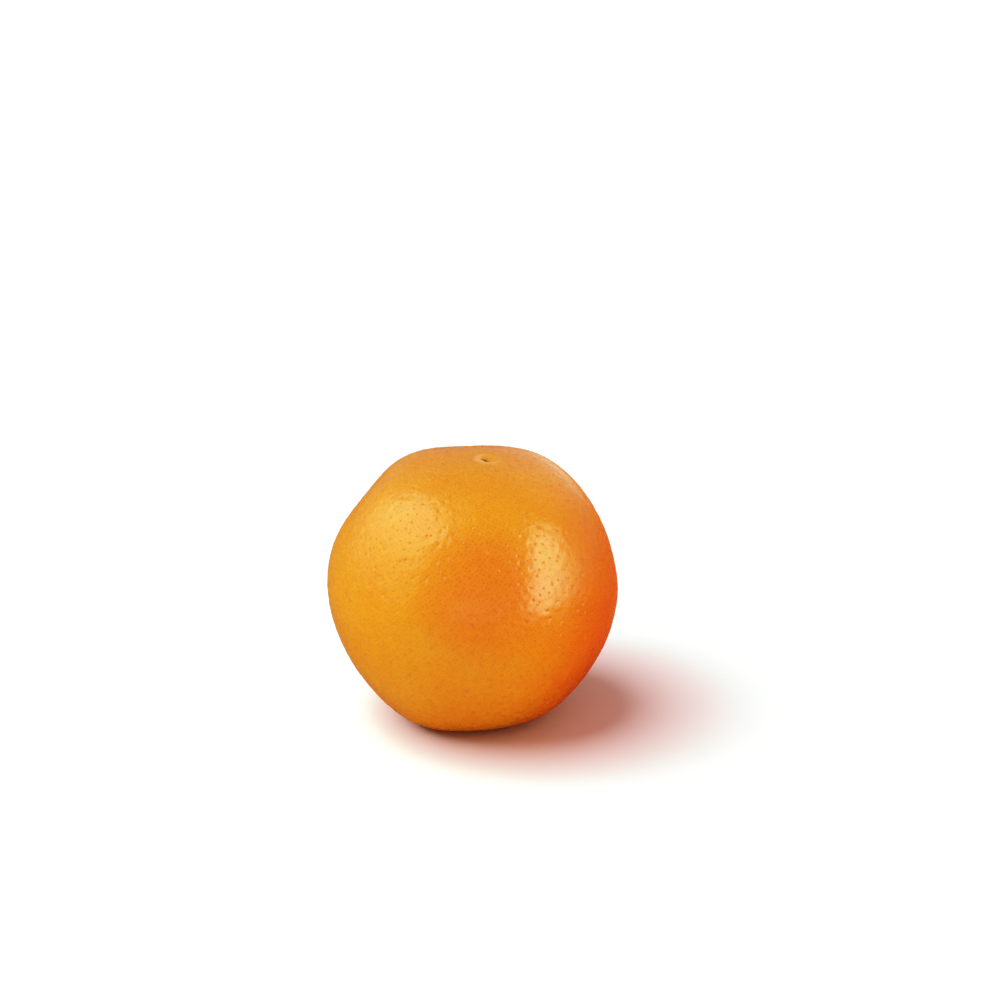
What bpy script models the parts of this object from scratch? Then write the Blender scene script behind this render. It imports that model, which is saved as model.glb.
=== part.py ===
"""A whole sweet orange, standing on its stem end with the blossom end up.

Two solids, in metres, +Z up, resting on z = 0 with the bounding box centred on the Z axis:

    fruit   the whole fruit in its rind: broad shoulders, a few soft bulges and flats, a small
            blossom scar on top, and a stem cavity inside the flat spot that it stands on
    calyx   the five-lobed button that the stem leaves behind, set up inside the stem cavity
"""

import math

import bmesh
import bpy
from mathutils import Matrix, Vector

MM = 0.001

# Body: an ellipsoid of revolution with a rounded shoulder round each end.
EQUATOR_RADIUS = 38.2 * MM
TOP_RADIUS = 36.0 * MM
BASE_RADIUS = 35.5 * MM
TOP_SHOULDER = (1.3 * MM, 48.7, 18.2)  # height, latitude and spread in degrees
BASE_SHOULDER = (1.05 * MM, -56.0, 16.0)

# Soft bulges (+) and flats (-): height, then azimuth and latitude in degrees. The front is -Y.
SWELLING_SPREAD = 12.8
SWELLINGS = (
    (0.45 * MM, 173.0, 15.5),  # left cheek
    (1.45 * MM, 144.5, 54.0),  # high on the left
    (1.10 * MM, 41.5, 57.5),  # high on the right
    (1.35 * MM, -132.5, -60.0),  # low on the left
    (0.45 * MM, -38.5, -56.0),  # low on the right
    (-1.40 * MM, 159.5, 39.5),  # flat above the left cheek
    (-0.65 * MM, -172.0, -18.0),  # flat below the left cheek
    (-0.60 * MM, -8.5, -19.0),  # flat low on the right
    (-0.60 * MM, 5.5, 12.5),  # flat high on the right
)

# Blossom end: a faint dish, a low collar and a small round pit, a little off the fruit's axis.
BLOSSOM_LEAN = 6.0  # degrees from the vertical, towards +X
DISH_RADIUS = 8.0 * MM
DISH_DEPTH = 0.35 * MM
COLLAR_RADIUS = 2.75 * MM
COLLAR_HEIGHT = 0.22 * MM
COLLAR_SPREAD = 0.75 * MM
PIT_RADIUS = 2.1 * MM
PIT_DEPTH = 1.3 * MM

# Stem end: the flat spot and the cavity inside it.
FLAT_ABOVE_POLE = 1.0 * MM  # how far above the body's lowest point the flat spot is
CAVITY_ROOF_RADIUS = 3.7 * MM
CAVITY_RADIUS = 6.6 * MM
CAVITY_DEPTH = 3.4 * MM

# Calyx button.
CALYX_GAP = 0.3 * MM  # between its upper face and the cavity's roof
CALYX_RADIUS = 3.0 * MM
CALYX_LOBES = 5
CALYX_LOBE = 0.17  # share of the radius that each lobe reaches out, and each notch falls back
CALYX_RIM = 0.45 * MM
CALYX_THICKNESS = 0.95 * MM
STUB_RADIUS = 1.25 * MM
STUB_LENGTH = 1.0 * MM

# Mesh.
SEGMENTS = 72
BODY_STEP = 5.0  # degrees of latitude between rings
BLOSSOM_RINGS = (0.0, 0.6, 1.1, 1.55, 1.95, 2.35, 2.75, 3.2, 3.8, 4.8, 6.3, 8.2, 10.6)
STEM_RINGS = (0.0, 1.9, 3.6, 4.3, 4.9, 5.5, 6.1, 6.7, 7.8, 8.8, 9.8, 11.2)


def smoothstep(low, high, value):
    """0 below low, 1 above high, and a smooth rise between them."""
    t = min(1.0, max(0.0, (value - low) / (high - low)))
    return t * t * (3.0 - 2.0 * t)


def direction_of(azimuth, latitude):
    """The unit vector at an azimuth and a latitude, both in degrees."""
    a, b = math.radians(azimuth), math.radians(latitude)
    return Vector((math.cos(a) * math.cos(b), math.sin(a) * math.cos(b), math.sin(b)))


def body_radius(direction):
    """Distance from the fruit's centre to its skin along a unit direction, before the two ends."""
    pole = TOP_RADIUS if direction.z > 0 else BASE_RADIUS
    level = math.sqrt(max(0.0, 1.0 - direction.z**2))
    radius = EQUATOR_RADIUS * pole / math.hypot(pole * level, EQUATOR_RADIUS * direction.z)
    latitude = math.degrees(math.asin(max(-1.0, min(1.0, direction.z))))
    for height, at, spread in (TOP_SHOULDER, BASE_SHOULDER):
        radius += height * math.exp(-(((latitude - at) / spread) ** 2))
    sharpness = 1.0 / math.radians(SWELLING_SPREAD) ** 2
    for height, azimuth, at in SWELLINGS:
        closeness = direction.dot(direction_of(azimuth, at)) - 1.0
        radius += height * math.exp(sharpness * closeness)
    return radius


def lean(direction):
    """Turns a direction towards +X, fully at the top of the fruit and not at all at its base."""
    share = smoothstep(-0.2, 1.0, direction.z)
    return Matrix.Rotation(math.radians(BLOSSOM_LEAN) * share, 3, "Y") @ direction


def blossom_relief(distance):
    """Height of the dish, collar and pit at a distance from the blossom end's centre."""
    dish = -DISH_DEPTH * (1.0 - smoothstep(0.0, DISH_RADIUS, distance))
    collar = COLLAR_HEIGHT * math.exp(-(((distance - COLLAR_RADIUS) / COLLAR_SPREAD) ** 2))
    pit = -PIT_DEPTH * (1.0 - smoothstep(0.1 * PIT_RADIUS, PIT_RADIUS, distance))
    return dish + collar + pit


def cavity_roof(distance):
    """Height of the stem cavity's surface above the flat spot at a distance from its axis."""
    return CAVITY_DEPTH * (1.0 - smoothstep(CAVITY_ROOF_RADIUS, CAVITY_RADIUS, distance))


def skin_point(direction):
    """Where the skin is along a direction, measured from the fruit's centre."""
    direction = lean(direction.normalized())
    point = direction * body_radius(direction)
    blossom = lean(Vector((0.0, 0.0, 1.0)))
    away = (point - blossom * point.dot(blossom)).length
    if direction.z > 0:
        point += blossom * blossom_relief(away)
    floor = FLAT_ABOVE_POLE - BASE_RADIUS
    if point.z < floor:
        point.z = floor
    across = math.hypot(point.x, point.y)
    if direction.z < 0 and across < CAVITY_RADIUS:
        point.z = floor + cavity_roof(across)
    return point


def ring_latitudes():
    """Latitudes of the fruit's rings from pole to pole, closer together round both ends."""
    stem = [math.degrees(math.asin(r * MM / BASE_RADIUS)) - 90.0 for r in STEM_RINGS]
    blossom = [90.0 - math.degrees(math.asin(r * MM / TOP_RADIUS)) for r in BLOSSOM_RINGS]
    steps = round((blossom[-1] - stem[-1]) / BODY_STEP)
    between = [
        stem[-1] + (blossom[-1] - stem[-1]) * i / steps for i in range(1, steps)
    ]
    return stem + between + blossom[::-1]


def spun(mesh, outline, segments):
    """Spins an outline of (radius, height) points once round Z and closes it at both poles."""
    points = [mesh.verts.new((radius, 0.0, height)) for radius, height in outline]
    edges = [mesh.edges.new(pair) for pair in zip(points, points[1:])]
    bmesh.ops.spin(
        mesh,
        geom=points + edges,
        cent=(0.0, 0.0, 0.0),
        axis=(0.0, 0.0, 1.0),
        angle=math.tau,
        steps=segments,
        use_merge=True,
    )
    bmesh.ops.remove_doubles(mesh, verts=mesh.verts[:], dist=1e-7)


def finished(name, mesh, material):
    """Puts a closed mesh into the scene as one smooth, outward-facing object."""
    bmesh.ops.recalc_face_normals(mesh, faces=mesh.faces[:])
    data = bpy.data.meshes.new(name)
    mesh.to_mesh(data)
    mesh.free()
    data.materials.append(material)
    data.polygons.foreach_set("use_smooth", [True] * len(data.polygons))
    made = bpy.data.objects.new(name, data)
    bpy.context.scene.collection.objects.link(made)
    return made


def material_of(name, colour, roughness):
    """A plain non-metal material."""
    material = bpy.data.materials.new(name)
    material.use_nodes = True
    shader = material.node_tree.nodes["Principled BSDF"]
    shader.inputs["Base Color"].default_value = (*colour, 1.0)
    shader.inputs["Roughness"].default_value = roughness
    shader.inputs["Metallic"].default_value = 0.0
    return material


def build_fruit():
    """The whole fruit, with its centre at the origin."""
    mesh = bmesh.new()
    sphere = [
        (math.cos(math.radians(a)), math.sin(math.radians(a))) for a in ring_latitudes()
    ]
    spun(mesh, sphere, SEGMENTS)
    for vertex in mesh.verts:
        vertex.co = skin_point(vertex.co)
    return finished("fruit", mesh, material_of("rind", (0.82, 0.25, 0.016), 0.4))


def build_calyx():
    """The calyx button, hanging in the stem cavity with its stub pointing down."""
    top = FLAT_ABOVE_POLE - BASE_RADIUS + CAVITY_DEPTH - CALYX_GAP
    under = top - CALYX_THICKNESS
    outline = [
        (0.0, top),
        (0.6 * CALYX_RADIUS, top),
        (0.92 * CALYX_RADIUS, top - 0.2 * CALYX_RIM),
        (CALYX_RADIUS, top - 0.55 * CALYX_RIM),
        (0.94 * CALYX_RADIUS, top - CALYX_RIM),
        (0.7 * CALYX_RADIUS, under + 0.12 * MM),
        (1.25 * STUB_RADIUS, under),
        (STUB_RADIUS, under - 0.2 * STUB_LENGTH),
        (0.95 * STUB_RADIUS, under - 0.85 * STUB_LENGTH),
        (0.75 * STUB_RADIUS, under - STUB_LENGTH),
        (0.3 * STUB_RADIUS, under - 0.8 * STUB_LENGTH),
        (0.0, under - 0.75 * STUB_LENGTH),
    ]
    mesh = bmesh.new()
    spun(mesh, outline, SEGMENTS)
    for vertex in mesh.verts:
        across = math.hypot(vertex.co.x, vertex.co.y)
        angle = math.atan2(vertex.co.y, vertex.co.x)
        share = smoothstep(1.25 * STUB_RADIUS, CALYX_RADIUS, across)
        star = 1.0 + CALYX_LOBE * share * math.cos(CALYX_LOBES * angle)
        vertex.co.x *= star
        vertex.co.y *= star
    return finished("calyx", mesh, material_of("calyx_green", (0.23, 0.2, 0.07), 0.7))


def stand_on_origin(fruit, others):
    """Moves everything so that the fruit rests on z = 0 with its bounding box centred on Z."""
    points = [vertex.co for vertex in fruit.data.vertices]
    low = [min(p[i] for p in points) for i in range(3)]
    high = [max(p[i] for p in points) for i in range(3)]
    shift = Vector((-(low[0] + high[0]) / 2, -(low[1] + high[1]) / 2, -low[2]))
    for made in (fruit, *others):
        made.data.transform(Matrix.Translation(shift))
        made.data.update()


def main():
    for old in list(bpy.data.objects):
        bpy.data.objects.remove(old, do_unlink=True)
    fruit = build_fruit()
    calyx = build_calyx()
    stand_on_origin(fruit, [calyx])


main()
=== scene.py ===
"""The looks of a whole sweet orange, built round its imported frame.

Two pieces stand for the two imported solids: the fruit in its waxy, finely pitted rind, and the
calyx button in the stem cavity underneath. Both are surfaces worked out with numpy, in metres,
+Z up, with the fruit standing on z = 0.
"""

from __future__ import annotations

import logging
import math
from dataclasses import dataclass, field
from enum import Enum

import bmesh
import bpy
import numpy as np
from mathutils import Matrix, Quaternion, Vector

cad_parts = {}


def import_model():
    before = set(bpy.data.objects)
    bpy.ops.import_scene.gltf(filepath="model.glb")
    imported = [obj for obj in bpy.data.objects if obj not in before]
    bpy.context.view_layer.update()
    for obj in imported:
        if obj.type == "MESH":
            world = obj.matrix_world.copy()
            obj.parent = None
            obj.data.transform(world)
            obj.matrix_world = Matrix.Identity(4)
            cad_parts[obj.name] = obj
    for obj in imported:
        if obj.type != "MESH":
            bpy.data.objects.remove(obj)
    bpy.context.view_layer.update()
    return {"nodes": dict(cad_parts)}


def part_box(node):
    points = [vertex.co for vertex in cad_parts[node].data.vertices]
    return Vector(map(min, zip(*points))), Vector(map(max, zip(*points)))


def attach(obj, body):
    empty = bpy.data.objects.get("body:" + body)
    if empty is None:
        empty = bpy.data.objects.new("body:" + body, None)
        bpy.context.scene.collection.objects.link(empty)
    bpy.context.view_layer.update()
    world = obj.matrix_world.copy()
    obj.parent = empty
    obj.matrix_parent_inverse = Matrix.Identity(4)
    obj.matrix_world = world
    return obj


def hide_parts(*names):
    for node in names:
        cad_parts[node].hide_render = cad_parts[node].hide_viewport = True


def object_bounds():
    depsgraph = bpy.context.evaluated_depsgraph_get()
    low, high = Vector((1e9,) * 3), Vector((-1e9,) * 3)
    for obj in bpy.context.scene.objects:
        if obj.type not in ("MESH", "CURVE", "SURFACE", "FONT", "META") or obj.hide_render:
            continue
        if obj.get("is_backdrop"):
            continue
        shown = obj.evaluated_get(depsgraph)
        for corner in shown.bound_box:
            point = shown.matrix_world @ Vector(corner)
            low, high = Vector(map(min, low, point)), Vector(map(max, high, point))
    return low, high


MM = 0.001
FRONT = -90.0  # azimuth of the side that the camera sees, in degrees
LARGEST_TABLE = 16_000_000  # numbers in a table of dot products
LOG = logging.getLogger("orange")

Array = np.ndarray
Pair = tuple[float, float]
Colour = tuple[float, float, float]
Piece = bpy.types.Object
Material = bpy.types.Material
Node = bpy.types.Node
Socket = bpy.types.NodeSocket
Tree = bpy.types.NodeTree

SHEEN_TINT: Colour = (0.6, 0.84, 0.5)  # of the lamps that make the highlights


class Body(str, Enum):
    """The bodies that pieces ride on."""

    ROOT = "root"


class Light(Enum):
    """What a lamp adds to a surface, as (scattered light, highlights)."""

    GLOW = (True, False)
    SHEEN = (False, True)


class Blend(str, Enum):
    """How two colours are put together."""

    MIX = "MIX"
    MULTIPLY = "MULTIPLY"


class Domain(str, Enum):
    """What part of a mesh a stored value belongs to."""

    FACE = "FACE"
    POINT = "POINT"


class GlandSet(str, Enum):
    """The oil glands stored on each face: the nearest large one and the nearest two small ones."""

    LARGE = "large"
    SMALL = "small"
    NEXT = "next"


# ---------------------------------------------------------------------------- arithmetic


def smoothstep(low: float, high: float, values: Array) -> Array:
    """A smooth rise from 0 at low to 1 at high: t squared times (3 minus 2 t).

    Args:
        low: where the rise starts.
        high: where the rise ends.
        values: what is compared with the two.

    Returns:
        A share from 0 to 1 for each value.
    """
    t = np.clip((values - low) / (high - low), 0.0, 1.0)
    return t * t * (3.0 - 2.0 * t)


def unit(vectors: Array) -> Array:
    """Each row divided by its length."""
    return vectors / np.linalg.norm(vectors, axis=-1, keepdims=True)


def direction_of(azimuth: float, latitude: float) -> Array:
    """The unit vector at an azimuth and a latitude, both in degrees."""
    a, b = math.radians(azimuth), math.radians(latitude)
    return np.array([math.cos(a) * math.cos(b), math.sin(a) * math.cos(b), math.sin(b)])


def closest(directions: Array, others: Array, ranks: int = 1) -> Array:
    """Which of the others lie closest to each direction: those with the largest dot products.

    Args:
        directions: unit vectors, one a row.
        others: unit vectors, one a row.
        ranks: how many of the closest are wanted.

    Returns:
        The row numbers of the others, rank by direction.
    """
    columns = others.T.astype(np.float32)
    block = LARGEST_TABLE // len(others)
    found = np.empty((ranks, len(directions)), np.int64)
    for start in range(0, len(directions), block):
        table = directions[start : start + block].astype(np.float32) @ columns
        for rank in range(ranks):
            best = np.argmax(table, axis=1)
            found[rank, start : start + block] = best
            table[np.arange(len(table)), best] = -1.0
    return found


# ---------------------------------------------------------------------------- grids and meshes


@dataclass(frozen=True)
class DirectionGrid:
    """A sphere of directions on the six faces of a cube, crowded together at both poles.

    Attributes:
        cells: grid cells along one edge of a cube face.
        crowding: how much closer the cells are at a pole than elsewhere, from 0 to 1.
        crowded: the angle over which they spread out again, in degrees.
        margin: the empty border of each face's tile in the UV map, as a share of the tile.
    """

    cells: int = 126
    crowding: float = 0.62
    crowded: float = 22.0
    margin: float = 0.012

    # Two edge directions of each cube face; their cross product points out of the face.
    FACES = (
        ((1, 0, 0), (0, 1, 0)),
        ((0, 1, 0), (1, 0, 0)),
        ((0, 1, 0), (0, 0, 1)),
        ((0, 0, 1), (0, 1, 0)),
        ((0, 0, 1), (1, 0, 0)),
        ((1, 0, 0), (0, 0, 1)),
    )

    def crowd(self, directions: Array) -> Array:
        """Draws directions towards both poles.

        The angle s from the nearer pole becomes s (1 - crowding exp(-(s / crowded)^2)).

        Args:
            directions: unit vectors, one a row.

        Returns:
            The moved unit vectors.
        """
        pole = np.where(directions[:, 2] < 0.0, -1.0, 1.0)
        level = np.hypot(directions[:, 0], directions[:, 1])
        angle = np.arctan2(level, np.abs(directions[:, 2]))
        near = np.exp(-((angle / math.radians(self.crowded)) ** 2))
        moved = angle * (1.0 - self.crowding * near)
        scale = np.where(level > 1e-12, np.sin(moved) / np.maximum(level, 1e-12), 0.0)
        x, y = directions[:, 0] * scale, directions[:, 1] * scale
        return np.column_stack([x, y, np.cos(moved) * pole])

    def build(self) -> tuple[Array, Array, Array]:
        """Works out the directions and the quads between them.

        A cube face's point at (u, v) is normal + tan(pi u / 4) a + tan(pi v / 4) b, with u and
        v from -1 to 1 and a, b the face's edges. Points that two faces share are made one.

        Returns:
            Unit vectors, quads as four row numbers each, and a UV place for each quad corner.
        """
        n = self.cells
        steps = np.tan(np.linspace(-1.0, 1.0, n + 1) * math.pi / 4.0)
        u, v = np.meshgrid(steps, steps, indexing="ij")
        row, column = np.meshgrid(np.arange(n), np.arange(n), indexing="ij")
        first = (row * (n + 1) + column).ravel()
        corners = np.column_stack([first, first + n + 1, first + n + 2, first + 1])
        tile = np.linspace(self.margin, 1.0 - self.margin, n + 1)
        tile_u, tile_v = np.meshgrid(tile, tile, indexing="ij")
        points, quads, places = [], [], []
        for index, (edge_a, edge_b) in enumerate(self.FACES):
            a, b = np.array(edge_a, float), np.array(edge_b, float)
            grid = np.cross(a, b) + u[..., None] * a + v[..., None] * b
            points.append(grid.reshape(-1, 3))
            quads.append(corners + index * (n + 1) ** 2)
            place = np.stack([(tile_u + index % 3) / 3.0, (tile_v + index // 3) / 2.0], -1)
            places.append(place.reshape(-1, 2)[corners])
        directions = unit(np.concatenate(points))
        _, kept, merged = np.unique(
            np.round(directions, 7), axis=0, return_index=True, return_inverse=True
        )
        quads = merged.reshape(-1)[np.concatenate(quads)]
        return self.crowd(directions[kept]), quads, np.concatenate(places).reshape(-1, 2)


def ring_quads(rings: int, spokes: int) -> Array:
    """Joins rings of points, one after the other, into closed bands of quads.

    Args:
        rings: how many rings.
        spokes: points round each ring.

    Returns:
        Four point numbers a row.
    """
    ring, spoke = np.meshgrid(np.arange(rings - 1), np.arange(spokes), indexing="ij")
    here, there, after = ring * spokes, (ring + 1) * spokes, (spoke + 1) % spokes
    corners = [here + spoke, there + spoke, there + after, here + after]
    return np.stack(corners, axis=-1).reshape(-1, 4)


def mesh_object(name: str, points: Array, quads: Array, places: Array | None = None) -> Piece:
    """Makes a smooth quad mesh object at the origin.

    Args:
        name: the object's name.
        points: where the vertices are, one a row, in metres.
        quads: four vertex numbers a row, counter-clockwise from outside.
        places: a UV place for each quad corner, or None for no UV map.

    Returns:
        The object, linked into the scene.
    """
    data = bpy.data.meshes.new(name)
    data.vertices.add(len(points))
    data.vertices.foreach_set("co", points.astype(np.float32).ravel())
    data.loops.add(quads.size)
    data.loops.foreach_set("vertex_index", quads.astype(np.int32).ravel())
    data.polygons.add(len(quads))
    data.polygons.foreach_set("loop_start", np.arange(0, quads.size, 4, dtype=np.int32))
    if places is not None:
        layer = data.uv_layers.new(name="OFBake")
        layer.data.foreach_set("uv", places.astype(np.float32).ravel())
    data.polygons.foreach_set("use_smooth", np.ones(len(quads), bool))
    data.update(calc_edges=True)
    data.validate()
    made = bpy.data.objects.new(name, data)
    bpy.context.scene.collection.objects.link(made)
    return made


def weld_poles(piece: Piece) -> None:
    """Merges coincident points, drops the faces that collapse, and turns the mesh outwards.

    Args:
        piece: the mesh object.
    """
    mesh = bmesh.new()
    mesh.from_mesh(piece.data)
    bmesh.ops.remove_doubles(mesh, verts=mesh.verts[:], dist=1e-7)
    bmesh.ops.recalc_face_normals(mesh, faces=mesh.faces[:])
    mesh.to_mesh(piece.data)
    mesh.free()


def add_values(piece: Piece, name: str, values: Array, domain: Domain = Domain.FACE) -> None:
    """Stores a number or a vector for each face or point under a name that a material can read.

    Args:
        piece: the mesh object.
        name: the attribute's name.
        values: one number a row, or three numbers a row.
        domain: whether a row is a face or a point.
    """
    kind, key = ("FLOAT", "value") if values.ndim == 1 else ("FLOAT_VECTOR", "vector")
    layer = piece.data.attributes.new(name, kind, domain.value)
    layer.data.foreach_set(key, values.astype(np.float32).ravel())


# ---------------------------------------------------------------------------- node wiring


@dataclass(frozen=True)
class Wiring:
    """Short words for putting nodes into one node tree.

    Attributes:
        tree: the node tree that the nodes go into.
    """

    tree: Tree

    def node(self, kind: str, inputs: dict | None = None, **settings: object) -> Node:
        """Adds a node.

        Args:
            kind: the node's type name.
            inputs: socket name or number to a value, or to an output socket to link.
            settings: the node's own properties.

        Returns:
            The node.
        """
        made = self.tree.nodes.new(kind)
        for key, value in settings.items():
            setattr(made, key, value)
        for key, value in (inputs or {}).items():
            self.feed(made.inputs[key], value)
        return made

    def feed(self, socket: Socket, value: object) -> None:
        """Links an output socket to an input, or sets the input's own value.

        Args:
            socket: the input.
            value: an output socket, or the value.
        """
        if isinstance(value, Socket):
            self.tree.links.new(value, socket)
        else:
            socket.default_value = value

    def maths(self, operation: str, *values: object, clamp: bool = False) -> Socket:
        """One arithmetic step.

        Args:
            operation: the step's name.
            values: one to three values or sockets.
            clamp: whether the answer is kept from 0 to 1.

        Returns:
            The answer's socket.
        """
        made = self.node("ShaderNodeMath", operation=operation, use_clamp=clamp)
        for socket, value in zip(made.inputs, values):
            self.feed(socket, value)
        return made.outputs[0]

    def ramp(self, value: object, ends: Pair, to: Pair = (0.0, 1.0)) -> Socket:
        """A smooth change from one level to another.

        Args:
            value: the value's socket.
            ends: where the change starts and ends.
            to: the levels at the two ends.

        Returns:
            The level's socket.
        """
        given = {"Value": value, "From Min": ends[0], "From Max": ends[1]}
        given |= {"To Min": to[0], "To Max": to[1]}
        made = self.node("ShaderNodeMapRange", given, interpolation_type="SMOOTHSTEP")
        return made.outputs["Result"]

    def blend(self, share: object, first: object, second: object, how: Blend = Blend.MIX) -> Socket:
        """A colour between first and second, or between first and their product.

        Args:
            share: how much of second, or of the product.
            first: a colour or its socket.
            second: a colour or its socket.
            how: MIX or MULTIPLY.

        Returns:
            The colour's socket.
        """
        made = self.node("ShaderNodeMix", data_type="RGBA", blend_type=how.value)
        for index, value in ((0, share), (6, first), (7, second)):
            self.feed(made.inputs[index], (*value, 1.0) if isinstance(value, tuple) else value)
        return made.outputs[2]

    def distance(self, first: object, second: object) -> Socket:
        """The distance between two points.

        Args:
            first: a point or its socket.
            second: a point or its socket.

        Returns:
            The distance's socket.
        """
        made = self.node("ShaderNodeVectorMath", {0: first, 1: second}, operation="DISTANCE")
        return made.outputs["Value"]

    def noise(self, place: object, scale: object, detail: float) -> Socket:
        """Cloudy noise.

        Args:
            place: the position's socket.
            scale: how many waves in a metre.
            detail: how many finer layers are added.

        Returns:
            The noise's socket.
        """
        given = {"Vector": place, "Scale": scale, "Detail": detail}
        return self.node("ShaderNodeTexNoise", given).outputs["Fac"]


def node_group(
    name: str, inputs: dict[str, str], outputs: tuple[str, ...]
) -> tuple[Tree, Wiring, Node, Node]:
    """Starts a shader node group.

    Args:
        name: the group's name.
        inputs: socket name to the kind of value that it takes.
        outputs: names of the sockets that put out a number.

    Returns:
        The group, its Wiring, its input node and its output node.
    """
    group = bpy.data.node_groups.new(name, "ShaderNodeTree")
    for label, kind in inputs.items():
        group.interface.new_socket(label, in_out="INPUT", socket_type=f"NodeSocket{kind}")
    for label in outputs:
        group.interface.new_socket(label, in_out="OUTPUT", socket_type="NodeSocketFloat")
    wiring = Wiring(group)
    return group, wiring, wiring.node("NodeGroupInput"), wiring.node("NodeGroupOutput")


def mottle_group() -> Tree:
    """Makes the group that puts out broad and fine mottle and fine grain, each from 0 to 1.

    Returns:
        The group.
    """
    inputs = {"Position": "Vector", "Broad scale": "Float", "Fine scale": "Float"}
    group, wiring, given, made = node_group("mottle", inputs, ("Broad", "Fine", "Grain"))
    place, fine_scale = given.outputs["Position"], given.outputs["Fine scale"]
    broad = wiring.noise(place, given.outputs["Broad scale"], 3.0)
    fine = wiring.noise(place, fine_scale, 3.0)
    grain = wiring.noise(place, wiring.maths("MULTIPLY", fine_scale, 4.5), 2.0)
    wiring.feed(made.inputs["Broad"], wiring.ramp(broad, (0.32, 0.68)))
    wiring.feed(made.inputs["Fine"], wiring.ramp(fine, (0.3, 0.7)))
    wiring.feed(made.inputs["Grain"], wiring.ramp(grain, (0.3, 0.7)))
    return group


def gland_group() -> Tree:
    """Makes the group that turns a gland's centre and radius into masks for its pore and spot.

    Returns:
        The group.
    """
    inputs = {"Position": "Vector", "Centre": "Vector", "Radius": "Float"}
    group, wiring, given, made = node_group("oil gland", inputs, ("Pore", "Spot"))
    away = wiring.distance(given.outputs["Position"], given.outputs["Centre"])
    share = wiring.maths("DIVIDE", away, given.outputs["Radius"])
    wiring.feed(made.inputs["Pore"], wiring.ramp(share, (0.05, 0.95), (1.0, 0.0)))
    wiring.feed(made.inputs["Spot"], wiring.ramp(share, (0.3, 1.0), (1.0, 0.0)))
    return group


def new_material(name: str) -> tuple[Material, Wiring, Node, Socket]:
    """Starts a material.

    Args:
        name: the material's name.

    Returns:
        The material, its Wiring, its Principled BSDF node and its position's socket.
    """
    material = bpy.data.materials.new(name)
    material.use_nodes = True
    wiring = Wiring(material.node_tree)
    place = wiring.node("ShaderNodeTexCoord").outputs["Object"]
    return material, wiring, material.node_tree.nodes["Principled BSDF"], place


def place_group(wiring: Wiring, group: Tree, inputs: dict) -> bpy.types.bpy_prop_collection:
    """Places a node group in a material.

    Args:
        wiring: the material's wiring.
        group: the group.
        inputs: socket name to a value, or to an output socket to link.

    Returns:
        The placed group's output sockets.
    """
    placed = wiring.node("ShaderNodeGroup", node_tree=group)
    for label, value in inputs.items():
        wiring.feed(placed.inputs[label], value)
    return placed.outputs


# ---------------------------------------------------------------------------- finishes


@dataclass(frozen=True)
class Marks:
    """What the rind's colours are laid out from, in metres.

    Attributes:
        middle: the fruit's middle.
        radius: its radius at the equator.
        stem: the middle of its stem cavity.
    """

    middle: Array
    radius: float
    stem: Array


@dataclass(frozen=True)
class PaintedSide:
    """A side of the fruit where painted light and shade change its colour.

    Attributes:
        azimuth: of its middle, in degrees.
        latitude: of its middle, in degrees.
        start: where the colour starts, in fruit radii towards the side.
        full: where the colour is full.
    """

    azimuth: float
    latitude: float
    start: float
    full: float

    def share(self, wiring: Wiring, place: Socket, marks: Marks) -> Socket:
        """How far a place lies towards the side: a ramp of its dot product with the direction.

        Args:
            wiring: the material's wiring.
            place: the position's socket.
            marks: the fruit's middle and radius.

        Returns:
            The share's socket, from 0 to 1.
        """
        way = direction_of(self.azimuth, self.latitude)
        given = {0: place, 1: tuple(way)}
        towards = wiring.node("ShaderNodeVectorMath", given, operation="DOT_PRODUCT")
        level = float(np.dot(marks.middle, way))
        ends = (level + self.start * marks.radius, level + self.full * marks.radius)
        return wiring.ramp(towards.outputs["Value"], ends)


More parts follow.
